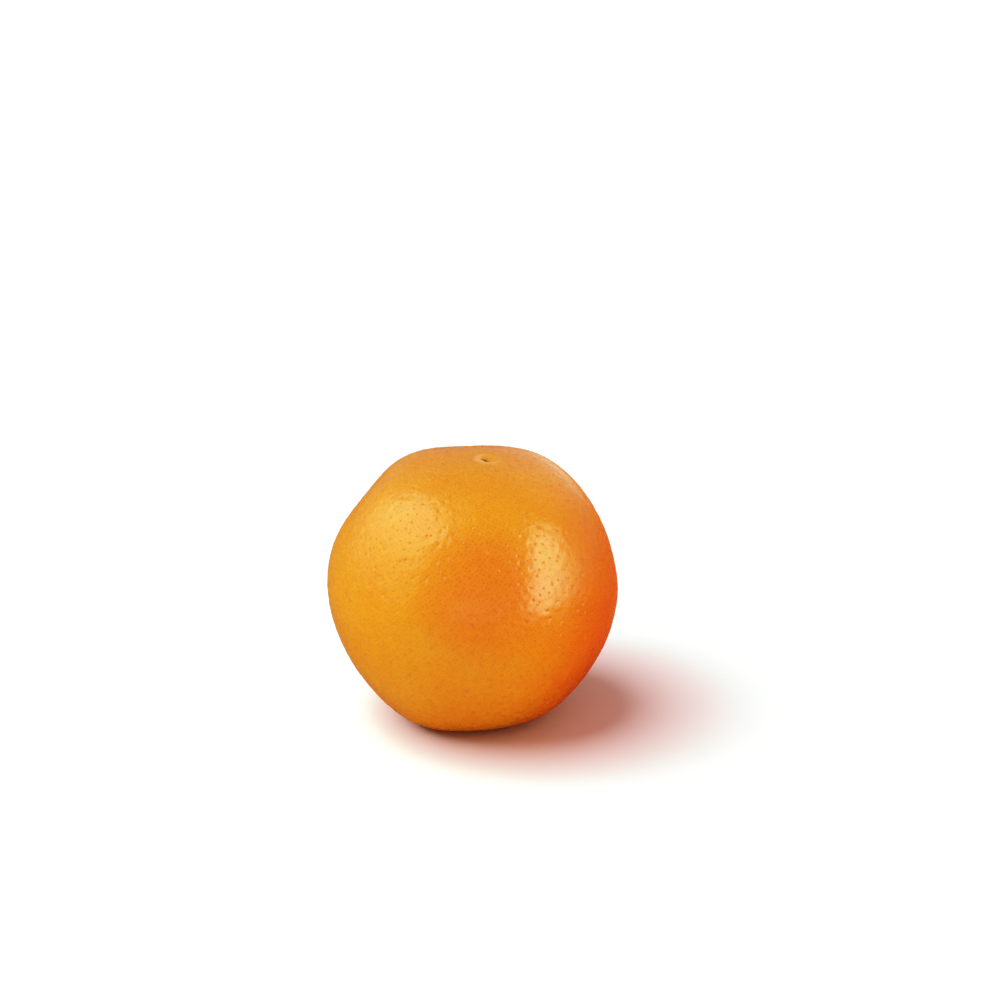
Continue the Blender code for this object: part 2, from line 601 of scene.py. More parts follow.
@dataclass(frozen=True)
class RindFinish:
    """Waxy orange rind, finely dotted, with a pore in every oil gland.

    Attributes:
        lit_yellow: painted light, the rind made lighter on the side that the key light falls on.
        orange: the rind on the side away from the key light, where the painted light is gone.
        red: painted shade, the dark red rind on the flank away from the lamps.
        deep: painted shade, a deeper orange in the middle of the front.
        lit_side: the side of that painted light, towards the key light.
        shade_cheek: the flank of that painted shade.
        front: the middle of the front, between the lit sides, where that painted shade lies.
        front_shade_share: how strong that painted shade is there.
        shade: what an oil gland lets through of the rind's colour.
        large_tint: how dark a large gland is.
        small_tint: how dark a small gland is.
        mottle_tint: how dark the fine mottle is.
        cloudiness: how much the broad mottle moves the edge of the painted light.
        scar: the dry rim round the blossom scar.
        hole: painted shade, near black, in the scar's hole.
        stem_tint: the greener rind in the stem cavity.
        stem_share: how green it is.
        stem_reach: how far from the cavity's middle the green starts to fade and ends, in metres.
        broad_scale: broad mottle's waves in a metre.
        fine_scale: fine mottle's waves in a metre.
        ragged_scale: waves in a metre of the scar rim's ragged edge.
        roughness: of the waxy rind between the pores.
        mottle_rough: how much the broad mottle changes it.
        pore_rough: how much rougher a large pore is.
        scar_rough: how much rougher the scar is.
        pore_depth: how deep a large gland's pore reads, in metres.
        small_relief: a small gland's pore, as a share of that depth.
        fine_relief: the fine mottle's relief, likewise.
        grain_relief: the grain's relief, likewise.
        ior: the wax's index of refraction.
        soaking: the share of light that scatters under the skin.
        soak_colour: how far each colour scatters.
        soak_depth: how far red does, in metres.
    """

    # painted light and shade: yellow is painted light on the lit side; red and deep are painted shade
    lit_yellow: Colour = (0.575, 0.262, 0.008)
    orange: Colour = (0.59, 0.157, 0.006)
    red: Colour = (0.50, 0.080, 0.002)
    deep: Colour = (0.57, 0.135, 0.005)
    lit_side: PaintedSide = PaintedSide(-145.0, 38.0, -1.0, 1.0)
    shade_cheek: PaintedSide = PaintedSide(-1.0, -22.0, 0.42, 1.02)
    front: PaintedSide = PaintedSide(-86.0, 18.0, 0.86, 1.0)
    front_shade_share: float = 0.6
    shade: Colour = (0.75, 0.52, 0.1)
    large_tint: float = 0.36
    small_tint: float = 0.46
    mottle_tint: float = 0.14
    cloudiness: float = 0.3
    scar: Colour = (0.66, 0.40, 0.17)
    hole: Colour = (0.035, 0.012, 0.003)
    stem_tint: Colour = (0.50, 0.30, 0.025)
    stem_share: float = 0.75
    stem_reach: Pair = (3.0 * MM, 11.0 * MM)
    broad_scale: float = 45.0
    fine_scale: float = 420.0
    ragged_scale: float = 1100.0
    roughness: float = 0.235
    mottle_rough: float = 0.08
    pore_rough: float = 0.2
    scar_rough: float = 0.4
    pore_depth: float = 0.094 * MM
    small_relief: float = 0.12
    fine_relief: float = 0.11
    grain_relief: float = 0.05
    ior: float = 1.45
    soaking: float = 0.2
    soak_colour: Colour = (1.0, 0.32, 0.08)
    soak_depth: float = 3.0 * MM

    def material(self, mottle: Tree, gland: Tree, marks: Marks) -> Material:
        """Makes the material.

        Args:
            mottle: the mottle group.
            gland: the oil gland group.
            marks: the fruit's middle and radius, and its stem point.

        Returns:
            The material.
        """
        material, wiring, shader, place = new_material("rind")
        scales = {"Broad scale": self.broad_scale, "Fine scale": self.fine_scale}
        clouds = place_group(wiring, mottle, {"Position": place, **scales})
        large, near, after = (self.glands(wiring, gland, place, which) for which in GlandSet)
        small = {
            mask: wiring.maths("MAXIMUM", near[mask], after[mask]) for mask in ("Pore", "Spot")
        }
        scar = wiring.node("ShaderNodeAttribute", attribute_name="scar_share").outputs["Fac"]
        # the share of painted shade in the blossom scar's hole
        hole = wiring.node("ShaderNodeAttribute", attribute_name="hole_shade_share").outputs["Fac"]
        ragged = wiring.ramp(wiring.noise(place, self.ragged_scale, 3.0), (0.3, 0.7), (0.55, 1.0))
        scar = wiring.maths("MULTIPLY", scar, ragged)

        colour = self.lit_and_shaded_colour(wiring, place, clouds["Broad"], marks)
        tint = wiring.maths("MULTIPLY", small["Spot"], self.small_tint)
        tint = wiring.maths("MULTIPLY_ADD", large["Spot"], self.large_tint, tint)
        tint = wiring.maths("MULTIPLY_ADD", clouds["Fine"], self.mottle_tint, tint, clamp=True)
        colour = wiring.blend(tint, colour, self.shade, Blend.MULTIPLY)
        from_stem = wiring.distance(place, tuple(marks.stem))
        green = wiring.ramp(from_stem, self.stem_reach, (self.stem_share, 0.0))
        colour = wiring.blend(green, colour, self.stem_tint)
        colour = wiring.blend(scar, colour, self.scar)
        # painted shade: the hole in the blossom scar goes near black
        wiring.feed(shader.inputs["Base Color"], wiring.blend(hole, colour, self.hole))

        smoothest = self.roughness - 0.5 * self.mottle_rough
        rough = wiring.maths("MULTIPLY_ADD", clouds["Broad"], self.mottle_rough, smoothest)
        rough = wiring.maths("MULTIPLY_ADD", large["Pore"], self.pore_rough, rough)
        dry = wiring.maths("ADD", scar, hole)
        rough = wiring.maths("MULTIPLY_ADD", dry, self.scar_rough, rough, clamp=True)
        wiring.feed(shader.inputs["Roughness"], rough)

        lumps = wiring.maths("MULTIPLY", clouds["Grain"], self.grain_relief)
        lumps = wiring.maths("MULTIPLY_ADD", clouds["Fine"], self.fine_relief, lumps)
        pitted = wiring.maths("MULTIPLY_ADD", small["Pore"], self.small_relief, large["Pore"])
        height = wiring.maths("SUBTRACT", lumps, pitted)
        given = {"Height": height, "Distance": self.pore_depth, "Strength": 1.0}
        bump = wiring.node("ShaderNodeBump", given)
        wiring.feed(shader.inputs["Normal"], bump.outputs["Normal"])

        shader.inputs["IOR"].default_value = self.ior
        shader.inputs["Subsurface Weight"].default_value = self.soaking
        shader.inputs["Subsurface Radius"].default_value = self.soak_colour
        shader.inputs["Subsurface Scale"].default_value = self.soak_depth
        return material

    def glands(
        self, wiring: Wiring, gland: Tree, place: Socket, which: GlandSet
    ) -> bpy.types.bpy_prop_collection:
        """Places the oil gland group for one of the glands stored on each face.

        Args:
            wiring: the material's wiring.
            gland: the oil gland group.
            place: the position's socket.
            which: the large one, the nearest small one, or the next.

        Returns:
            The masks' sockets, Pore and Spot.
        """
        name = which.value
        centre = wiring.node("ShaderNodeAttribute", attribute_name=f"{name}_centre")
        radius = wiring.node("ShaderNodeAttribute", attribute_name=f"{name}_radius")
        given = {"Centre": centre.outputs["Vector"], "Radius": radius.outputs["Fac"]}
        return place_group(wiring, gland, {"Position": place, **given})

    def lit_and_shaded_colour(self, wiring: Wiring, place: Socket, broad: Socket, marks: Marks) -> Socket:
        """The rind's colour with painted light and shade: lighter towards the key light, a deeper
        orange in the front's middle, and dark red on the flank away from the lamps.

        Args:
            wiring: the material's wiring.
            place: the position's socket.
            broad: the broad mottle's socket.
            marks: the fruit's middle and radius.

        Returns:
            The colour's socket.
        """
        # painted light: lighter towards the key light, its edge moved by the broad mottle
        cloudy = wiring.maths("MULTIPLY_ADD", broad, self.cloudiness, -0.5 * self.cloudiness)
        lit_side = wiring.maths("ADD", self.lit_side.share(wiring, place, marks), cloudy, clamp=True)
        colour = wiring.blend(lit_side, self.orange, self.lit_yellow)
        # painted shade: a deeper orange in the front's middle, between the two lit sides
        front = self.front.share(wiring, place, marks)
        front = wiring.maths("MULTIPLY", front, self.front_shade_share)
        colour = wiring.blend(front, colour, self.deep)
        # painted shade: dark red on the flank away from the lamps
        return wiring.blend(self.shade_cheek.share(wiring, place, marks), colour, self.red)


@dataclass(frozen=True)
class CalyxFinish:
    """Dry green-brown plant tissue, dark brown on the stub's broken end.

    Attributes:
        green: the sepals.
        tan: their dry edges.
        brown: the stub's end.
        edge: where the dry edge starts and is full, in calyx radii from the stub's end.
        edge_share: how dry it is.
        stub: where the brown starts to fade and ends, likewise.
        speckle: how brown the fine mottle is.
        broad_scale: broad mottle's waves in a metre.
        fine_scale: fine mottle's waves in a metre.
        roughness: all over.
        mottle_rough: how much the fine mottle changes it.
        relief: height of the mottle and the grain, in metres.
    """

    green: Colour = (0.33, 0.33, 0.065)
    tan: Colour = (0.46, 0.34, 0.14)
    brown: Colour = (0.07, 0.045, 0.028)
    edge: Pair = (0.62, 1.1)
    edge_share: float = 0.6
    stub: Pair = (0.24, 0.4)
    speckle: float = 0.3
    broad_scale: float = 350.0
    fine_scale: float = 1500.0
    roughness: float = 0.68
    mottle_rough: float = 0.2
    relief: float = 0.06 * MM

    def material(self, mottle: Tree, stub_end: Vector, reach: float) -> Material:
        """Makes the material.

        Args:
            mottle: the mottle group.
            stub_end: the middle of the calyx's lower end, in metres.
            reach: the calyx's radius, in metres.

        Returns:
            The material.
        """
        material, wiring, shader, place = new_material("calyx")
        scales = {"Broad scale": self.broad_scale, "Fine scale": self.fine_scale}
        clouds = place_group(wiring, mottle, {"Position": place, **scales})
        away = wiring.distance(place, tuple(stub_end))
        edge = wiring.ramp(away, (self.edge[0] * reach, self.edge[1] * reach))
        colour = wiring.blend(clouds["Broad"], self.green, self.tan)
        colour = wiring.blend(wiring.maths("MULTIPLY", edge, self.edge_share), colour, self.tan)
        speckle = wiring.maths("MULTIPLY", clouds["Fine"], self.speckle)
        colour = wiring.blend(speckle, colour, self.brown)
        stub = wiring.ramp(away, (self.stub[0] * reach, self.stub[1] * reach), (1.0, 0.0))
        wiring.feed(shader.inputs["Base Color"], wiring.blend(stub, colour, self.brown))
        smoothest = self.roughness - 0.5 * self.mottle_rough
        rough = wiring.maths("MULTIPLY_ADD", clouds["Fine"], self.mottle_rough, smoothest)
        wiring.feed(shader.inputs["Roughness"], rough)
        height = wiring.maths("ADD", clouds["Fine"], clouds["Grain"])
        given = {"Height": height, "Distance": self.relief, "Strength": 1.0}
        bump = wiring.node("ShaderNodeBump", given)
        wiring.feed(shader.inputs["Normal"], bump.outputs["Normal"])
        return material


@dataclass(frozen=True)
class PaperFinish:
    """Plain white paper, for the floor. It gives the fruit the warm light of a pile of fruit.

    Attributes:
        white: its own colour.
        gloss_shade: painted shade in the fruit's gloss, tan instead of white.
        fruit_glow_and_shade: painted red glow and shade on the fruit's shaded side, from neighbouring
            fruit.
        middle: how far to the right the shaded side starts, in metres.
        change: how far on each side of that it changes, in metres.
        roughness: all over.
    """

    white: Colour = (0.955, 0.948, 0.977)
    gloss_shade: Colour = (0.27, 0.165, 0.085)
    fruit_glow_and_shade: Colour = (0.60, 0.18, 0.06)
    middle: float = 0.03
    change: float = 0.05
    roughness: float = 0.8

    def material(self) -> Material:
        """Makes the material.

        Returns:
            The material.
        """
        material, wiring, shader, place = new_material("white_paper")
        path = wiring.node("ShaderNodeLightPath")
        right = wiring.node("ShaderNodeSeparateXYZ", {"Vector": place}).outputs["X"]
        shaded = wiring.ramp(right, (self.middle - self.change, self.middle + self.change))
        # painted shade in the fruit's reflections, and painted red glow and shade on its right side
        given = wiring.blend(path.outputs["Is Glossy Ray"], self.white, self.gloss_shade)
        given = wiring.blend(shaded, given, self.fruit_glow_and_shade)
        colour = wiring.blend(path.outputs["Is Camera Ray"], given, self.white)
        wiring.feed(shader.inputs["Base Color"], colour)
        shader.inputs["Roughness"].default_value = self.roughness
        return material


# ---------------------------------------------------------------------------- the fruit


@dataclass(frozen=True)
class Swelling:
    """A soft bulge, or a flat where its height is negative.

    Attributes:
        height: at its middle, in metres.
        azimuth: of its middle, in degrees; the front is -90.
        latitude: of its middle, in degrees.
    """

    height: float
    azimuth: float
    latitude: float


@dataclass(frozen=True)
class Shoulder:
    """A rounded ring round the fruit.

    Attributes:
        height: at its crest, in metres.
        latitude: of its crest, in degrees.
        spread: how far it reaches on each side, in degrees.
    """

    height: float
    latitude: float
    spread: float


@dataclass(frozen=True)
class FruitShape:
    """The fruit's outer form, measured from its centre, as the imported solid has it.

    Attributes:
        equator: radius at the equator.
        top: distance from the centre to the blossom end.
        base: distance from the centre to the stem end, before the flat spot is cut.
        shoulders: the rounded rings round the two ends.
        swellings: the bulges and flats.
        swelling_spread: how far a swelling reaches, in degrees.
        blossom_lean: the blossom end's angle from the vertical towards +X, in degrees.
        flat: how far above the lowest point the flat spot lies.
        cavity_roof: radius of the stem cavity's roof.
        cavity: radius of the stem cavity's mouth.
        cavity_depth: depth of the stem cavity.
    """

    equator: float = 38.2 * MM
    top: float = 36.0 * MM
    base: float = 35.5 * MM
    shoulders: tuple[Shoulder, ...] = (
        Shoulder(1.3 * MM, 48.7, 18.2),
        Shoulder(1.05 * MM, -56.0, 16.0),
    )
    swellings: tuple[Swelling, ...] = (
        Swelling(0.45 * MM, 173.0, 15.5),
        Swelling(1.45 * MM, 144.5, 54.0),
        Swelling(1.10 * MM, 41.5, 57.5),
        Swelling(1.35 * MM, -132.5, -60.0),
        Swelling(0.45 * MM, -38.5, -56.0),
        Swelling(-1.40 * MM, 159.5, 39.5),
        Swelling(-0.65 * MM, -172.0, -18.0),
        Swelling(-0.60 * MM, -8.5, -19.0),
        Swelling(-0.60 * MM, 5.5, 12.5),
    )
    swelling_spread: float = 12.8
    blossom_lean: float = 6.0
    flat: float = 1.0 * MM
    cavity_roof: float = 3.7 * MM
    cavity: float = 6.6 * MM
    cavity_depth: float = 3.4 * MM

    @property
    def floor(self) -> float:
        """Height of the flat spot, measured from the centre."""
        return self.flat - self.base

    @property
    def blossom(self) -> Array:
        """The unit vector from the centre to the blossom end."""
        return self.lean(np.array([[0.0, 0.0, 1.0]]))[0]

    def body_radius(self, directions: Array) -> Array:
        """Distance from the centre to the skin, before the two ends are shaped.

        An ellipsoid's radius, plus a bell curve in latitude for each shoulder, plus a bell
        curve in angle from its middle for each swelling.

        Args:
            directions: unit vectors, one a row.

        Returns:
            One radius for each direction.
        """
        up = np.clip(directions[:, 2], -1.0, 1.0)
        pole = np.where(up > 0.0, self.top, self.base)
        level = np.sqrt(1.0 - up**2)
        radius = self.equator * pole / np.hypot(pole * level, self.equator * up)
        latitude = np.degrees(np.arcsin(up))
        for ring in self.shoulders:
            radius += ring.height * np.exp(-(((latitude - ring.latitude) / ring.spread) ** 2))
        sharpness = 1.0 / math.radians(self.swelling_spread) ** 2
        for swelling in self.swellings:
            middle = direction_of(swelling.azimuth, swelling.latitude)
            radius += swelling.height * np.exp(sharpness * (directions @ middle - 1.0))
        return radius

    def lean(self, directions: Array) -> Array:
        """Turns directions about Y towards +X: fully at the top, not at all at the base.

        Args:
            directions: unit vectors, one a row.

        Returns:
            The turned unit vectors.
        """
        turn = math.radians(self.blossom_lean) * smoothstep(-0.2, 1.0, directions[:, 2])
        c, s = np.cos(turn), np.sin(turn)
        x, y, z = directions.T
        return np.column_stack([c * x + s * z, y, c * z - s * x])

    def across_blossom(self, points: Array) -> tuple[Array, Array]:
        """Where points are across the blossom end.

        Args:
            points: one a row, measured from the fruit's centre.

        Returns:
            The distances from the blossom axis along its own x and y.
        """
        side = unit(np.cross([0.0, 1.0, 0.0], self.blossom))
        return points @ side, points @ np.cross(self.blossom, side)


@dataclass(frozen=True)
class BlossomEnd:
    """The scar where the flower was: a faint dish, a low collar, and a pit with a small hole.

    Attributes:
        dish: radius of the dish.
        dish_depth: its depth.
        collar: radius of the collar's crest.
        collar_height: its height.
        collar_spread: how far its flanks reach.
        pit: radius of the pit.
        pit_depth: its depth.
        hole: radius of the hole in the pit.
        hole_wide: how many times wider the hole is than deep to the front.
        hole_depth: how much lower the hole goes.
        hole_away: how far the hole is from the pit's middle.
        hole_azimuth: which side of the pit it is on, in degrees.
        dry: how far the collar is dry and pale.
        dry_azimuth: the side where it is palest, in degrees.
    """

    dish: float = 8.0 * MM
    dish_depth: float = 0.35 * MM
    collar: float = 2.75 * MM
    collar_height: float = 0.24 * MM
    collar_spread: float = 0.7 * MM
    pit: float = 2.15 * MM
    pit_depth: float = 0.45 * MM
    hole: float = 0.85 * MM
    hole_wide: float = 1.25
    hole_depth: float = 1.4 * MM
    hole_away: float = 0.6 * MM
    hole_azimuth: float = -160.0
    dry: float = 0.75
    dry_azimuth: float = -155.0

    def relief(self, x: Array, y: Array) -> Array:
        """Height over the plain skin at a place across the blossom end.

        The dish and the pit are smooth steps of the distance from the middle, the collar a
        bell curve round the pit's edge, and the hole a smooth step of the distance from its
        own middle. Waves in azimuth make the collar uneven.

        Args:
            x: distance from the middle along X, in metres.
            y: distance from the middle along Y.

        Returns:
            One height for each place.
        """
        around = np.arctan2(y, x)
        uneven = 1.0 + 0.07 * np.cos(2 * around + 0.7) + 0.05 * np.cos(3 * around - 1.1)
        uneven += 0.025 * np.cos(7 * around + 2.0)
        away = np.hypot(x, y) / uneven
        height = -self.dish_depth * (1.0 - smoothstep(0.0, self.dish, away))
        crest = 0.75 + 0.25 * np.cos(around + 2.4) + 0.15 * np.cos(5 * around)
        bell = np.exp(-(((away - self.collar) / self.collar_spread) ** 2))
        height += self.collar_height * crest * bell
        height -= self.pit_depth * (1.0 - smoothstep(0.25 * self.pit, self.pit, away))
        away = self.from_hole(x, y)
        deep = 1.0 - smoothstep(0.55 * self.hole, 1.1 * self.hole, away)
        return height - self.hole_depth * deep

    def from_hole(self, x: Array, y: Array) -> Array:
        """Distance from the hole's middle, with x shrunk so that the hole is wider than tall.

        Args:
            x: distance from the blossom end's middle along X, in metres.
            y: distance from it along Y.

        Returns:
            One distance for each place.
        """
        a = math.radians(self.hole_azimuth)
        hole_x, hole_y = self.hole_away * np.array([math.cos(a), math.sin(a)])
        return np.hypot((x - hole_x) / self.hole_wide, y - hole_y)

    def dry_rim_and_hole_shade(self, x: Array, y: Array) -> tuple[Array, Array]:
        """How dry and pale the rind is, and how much painted shade darkens the hole, at a place
        across the blossom end.

        The dry share is a bell curve round the collar's crest, times a cosine in azimuth. The
        share of painted shade is a smooth step of the distance from the hole's middle.

        Args:
            x: distance from the middle along X, in metres.
            y: distance from the middle along Y.

        Returns:
            Two shares from 0 to 1 for each place.
        """
        around = np.arctan2(y, x) - math.radians(self.dry_azimuth)
        side = 0.55 + 0.45 * np.cos(around)
        bell = np.exp(-(((np.hypot(x, y) - self.collar) / self.collar_spread) ** 2))
        dark = 1.0 - smoothstep(0.85 * self.hole, 1.25 * self.hole, self.from_hole(x, y))
        return self.dry * side * bell, dark


@dataclass(frozen=True)
class StemFurrows:
    """Furrows that run from the fruit's base into the stem cavity.

    Attributes:
        count: how many there are.
        depth: of a middling furrow.
        starts: where they start and are full, in cavity radii from the axis.
        ends: where they start to fade and end, likewise.
    """

    count: int = 11
    depth: float = 0.5 * MM
    starts: Pair = (0.55, 0.95)
    ends: Pair = (1.2, 2.5)

    def depths(self, points: Array, cavity: float) -> Array:
        """How deep the furrows are at each point.

        A furrow is a narrow crest of a cosine in azimuth, raised to the fourth power. Slow
        waves in azimuth make their spacing and their depth uneven.

        Args:
            points: one a row, measured from the fruit's centre.
            cavity: the cavity's radius.

        Returns:
            One depth for each point.
        """
        level = np.hypot(points[:, 0], points[:, 1])
        around = np.arctan2(points[:, 1], points[:, 0])
        bent = around + 0.25 * np.sin(2.0 * around + 0.6)
        crest = (0.5 + 0.5 * np.cos(self.count * bent)) ** 4
        uneven = 0.65 + 0.35 * np.sin(3.0 * around + 1.0)
        near = smoothstep(self.starts[0] * cavity, self.starts[1] * cavity, level)
        far = 1.0 - smoothstep(self.ends[0] * cavity, self.ends[1] * cavity, level)
        return np.where(points[:, 2] < 0.0, self.depth * crest * uneven * near * far, 0.0)


@dataclass(frozen=True)
class Unevenness:
    """A smooth random height over the rind.

    Attributes:
        height: how high it is, in metres.
        count: how many waves are summed.
        low: the smallest wave number, in radians per radius.
        high: the largest wave number.
        seed: fixes the random draw.
    """

    height: float
    count: int
    low: float
    high: float
    seed: int

    def heights(self, directions: Array) -> Array:
        """The height in each direction: a sum of plane waves through the sphere.

        Each wave is the cosine of a random wave vector dotted with the direction, plus a random
        phase. The sum is divided by the square root of half the count, so it stays about -2 to
        2 times the height.

        Args:
            directions: unit vectors, one a row.

        Returns:
            One height for each direction.
        """
        draw = np.random.default_rng(self.seed)
        ways = unit(draw.normal(size=(self.count, 3)))
        along = ways * draw.uniform(self.low, self.high, (self.count, 1))
        phase = draw.uniform(0.0, math.tau, self.count)
        total = np.cos(directions @ along.T + phase).sum(axis=1)
        return self.height * (total / math.sqrt(self.count / 2.0))


@dataclass
class OilGlands:
    """Oil glands spread over the whole rind, each a shallow dimple.

    Attributes:
        count: how many there are.
        radius: of a middling gland's pore.
        depth: of a middling gland's dimple.
        seed: fixes the random draw.
        jitter: how far each strays from an even spacing, as a share of it.
        variety: how much the radii differ, as the spread of their logarithms.
        spread: of the dimple, as a multiple of the pore's radius.
        lip: how far a low lip rises round the dimple, 0 for none.
    """

    count: int
    radius: float
    depth: float
    seed: int
    jitter: float
    variety: float
    spread: float = 1.3
    lip: float = 0.9
    directions: Array = field(init=False)
    sizes: Array = field(init=False)

    def __post_init__(self) -> None:
        """Places the glands along a golden-angle spiral over the sphere and shakes each a little."""
        draw = np.random.default_rng(self.seed)
        index = np.arange(self.count) + 0.5
        height = 1.0 - 2.0 * index / self.count
        around = math.pi * (1.0 + math.sqrt(5.0)) * index
        level = np.sqrt(1.0 - height**2)
        even = np.column_stack([level * np.cos(around), level * np.sin(around), height])
        spacing = math.sqrt(4.0 * math.pi / self.count)
        self.directions = unit(even + draw.normal(size=even.shape) * spacing * self.jitter)
        self.sizes = np.exp(draw.normal(size=self.count) * self.variety)

    def nearest(self, directions: Array) -> tuple[Array, Array]:
        """Finds the nearest gland to each direction.

        Args:
            directions: unit vectors, one a row.

        Returns:
            The gland's number, and the angle to it in radians, for each direction.
        """
        index = closest(directions, self.directions)[0]
        apart = np.linalg.norm(directions - self.directions[index], axis=1)
        return index, 2.0 * np.arcsin(np.clip(apart / 2.0, 0.0, 1.0))

    def snap(self, directions: Array) -> Array:
        """Moves the grid direction nearest to each gland onto the gland.

        Args:
            directions: unit vectors, one a row.

        Returns:
            The directions with those rows moved.
        """
        moved = directions.copy()
        moved[closest(self.directions, directions)[0]] = self.directions
        return moved

    def dimples(self, directions: Array, radius: Array) -> Array:
        """How deep the nearest gland's dimple is in each direction.

        With u the squared distance from the gland over the dimple's reach, the depth is
        exp(-u) times (1 minus lip times u), which goes below zero on the lip.

        Args:
            directions: unit vectors, one a row.
            radius: the body's radius along each.

        Returns:
            One depth for each direction.
        """
        index, angle = self.nearest(directions)
        size = self.sizes[index]
        away = (angle * radius / (self.spread * self.radius * size)) ** 2
        return self.depth * size * (1.0 - self.lip * away) * np.exp(-away)


@dataclass
class Fruit:
    """The whole fruit: its form, its blossom end, its stem cavity and its pitted rind.

    Attributes:
        shape: the outer form.
        end: the blossom end.
        furrows: the furrows round the stem cavity.
        waves: the rind's broad, shallow unevenness.
        pebbles: its small unevenness.
        large: the large oil glands, dimples in the mesh.
        small: the small ones between them, too fine for the mesh.
        room: how far from a large gland a small one starts and is full, in metres.
        smallest: the least share of its radius that a gland keeps.
        smooth_top: how far from the blossom axis the relief starts and is full, in metres.
        smooth_base: the same from the stem axis, in cavity radii.
        grid: the directions that its mesh is worked out on.
        shift: from the fruit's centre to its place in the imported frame.
    """

    shape: FruitShape = FruitShape()
    end: BlossomEnd = BlossomEnd()
    furrows: StemFurrows = StemFurrows()
    waves: Unevenness = Unevenness(0.05 * MM, 90, 7.0, 20.0, 3)
    pebbles: Unevenness = Unevenness(0.025 * MM, 260, 60.0, 125.0, 9)
    large: OilGlands = field(
        default_factory=lambda: OilGlands(3000, 0.41 * MM, 0.055 * MM, 5, 0.2, 0.25)
    )
    small: OilGlands = field(
        default_factory=lambda: OilGlands(17500, 0.35 * MM, 0.0, 6, 0.18, 0.15)
    )
    room: Pair = (0.3 * MM, 0.6 * MM)
    smallest: float = 0.02
    smooth_top: Pair = (1.6 * MM, 6.0 * MM)
    smooth_base: Pair = (0.75, 1.15)
    grid: DirectionGrid = DirectionGrid()
    shift: Array = field(default_factory=lambda: np.zeros(3))

    def calm(self, points: Array) -> Array:
        """How much of the rind's relief is left at each point: none inside the two ends.

        Args:
            points: one a row, measured from the fruit's centre.

        Returns:
            A share from 0 to 1 for each point.
        """
        cavity = self.shape.cavity
        top = smoothstep(*self.smooth_top, np.hypot(*self.shape.across_blossom(points)))
        low, high = self.smooth_base
        base = smoothstep(low * cavity, high * cavity, np.hypot(points[:, 0], points[:, 1]))
        return np.where(points[:, 2] > 0.0, top, base)

    def skin(self, directions: Array) -> Array:
        """Where the skin is along each direction, measured from the fruit's centre.

        The body's radius plus the two sums of waves, less the glands' dimples and the stem
        furrows; then the blossom end's relief, the flat spot and the stem cavity.

        Args:
            directions: unit vectors, one a row.

        Returns:
            One point for each direction.
        """
        radius = self.shape.body_radius(directions)
        plain = directions * radius[:, None]
        relief = self.waves.heights(directions) + self.pebbles.heights(directions)
        relief = relief - self.large.dimples(directions, radius)
        furrows = self.furrows.depths(plain, self.shape.cavity)
        radius = radius + self.calm(plain) * relief - furrows
        points = directions * radius[:, None]
        across = self.shape.across_blossom(points)
        lift = np.where(points[:, 2] > 0.0, self.end.relief(*across), 0.0)
        return self.stand(points + self.shape.blossom * lift[:, None])

    def stand(self, points: Array) -> Array:
        """Cuts the flat spot and the stem cavity, and runs the stem furrows over both.

        Args:
            points: one a row, measured from the fruit's centre.

        Returns:
            The points, none lower than the flat spot.
        """
        shape = self.shape
        level = np.hypot(points[:, 0], points[:, 1])
        roof = shape.cavity_depth * (1.0 - smoothstep(shape.cavity_roof, shape.cavity, level))
        inside = (points[:, 2] < 0.0) & (level < shape.cavity)
        spot = shape.floor + self.furrows.depths(points, shape.cavity)
        height = np.where(inside, spot + roof, np.maximum(points[:, 2], spot))
        return np.column_stack([points[:, 0], points[:, 1], height])

    def build(self) -> Piece:
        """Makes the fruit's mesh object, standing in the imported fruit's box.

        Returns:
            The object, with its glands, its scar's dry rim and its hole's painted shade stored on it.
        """
        directions, quads, places = self.grid.build()
        directions = self.large.snap(self.shape.lean(directions))
        points = self.skin(directions)
        low, high = (np.array(corner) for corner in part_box("fruit"))
        middle = (points.min(axis=0) + points.max(axis=0)) / 2.0
        self.shift = np.array([*((low + high) / 2.0 - middle)[:2], low[2] - points[:, 2].min()])
        piece = mesh_object("orange_fruit", points + self.shift, quads, places)
        faces = unit(directions[quads].mean(axis=1))
        self.store_glands(piece, self.large, (GlandSet.LARGE,), faces, 1.0)
        _, apart = self.large.nearest(self.small.directions)
        room = smoothstep(*self.room, apart * self.shape.equator)
        self.store_glands(piece, self.small, (GlandSet.SMALL, GlandSet.NEXT), faces, room)
        above = np.where(points[:, 2] > 0.0, 1.0, 0.0)
        # the dry rim's share, and the share of painted shade in the hole
        dry, dark = self.end.dry_rim_and_hole_shade(*self.shape.across_blossom(points))
        add_values(piece, "scar_share", dry * above, Domain.POINT)
        add_values(piece, "hole_shade_share", dark * above, Domain.POINT)
        return piece

    def store_glands(
        self,
        piece: Piece,
        glands: OilGlands,
        kept: tuple[GlandSet, ...],
        faces: Array,
        room: Array | float,
    ) -> None:
        """Stores the centre and radius of the nearest gland, or the nearest two, on each face.

        Args:
            piece: the fruit's object.
            glands: the glands.
            kept: what the nearest is stored as, and then the next.
            faces: the unit vector of each face.
            room: how much of its radius each gland keeps.
        """
        centres = self.skin(glands.directions)
        share = np.maximum(self.calm(centres) * room, self.smallest)
        radii = glands.radius * glands.sizes * share
        for which, index in zip(kept, closest(faces, glands.directions, len(kept))):
            add_values(piece, f"{which.value}_centre", (centres + self.shift)[index])
            add_values(piece, f"{which.value}_radius", radii[index])

    def marks(self) -> Marks:
        """The places that the rind's colours are laid out from, once the fruit is built.

        Returns:
            The fruit's middle and radius, and the middle of its stem cavity.
        """
        cavity_middle = self.shape.floor + 0.5 * self.shape.cavity_depth
        stem = np.array([0.0, 0.0, cavity_middle]) + self.shift
        return Marks(self.shift, self.shape.equator, stem)


# ---------------------------------------------------------------------------- the calyx


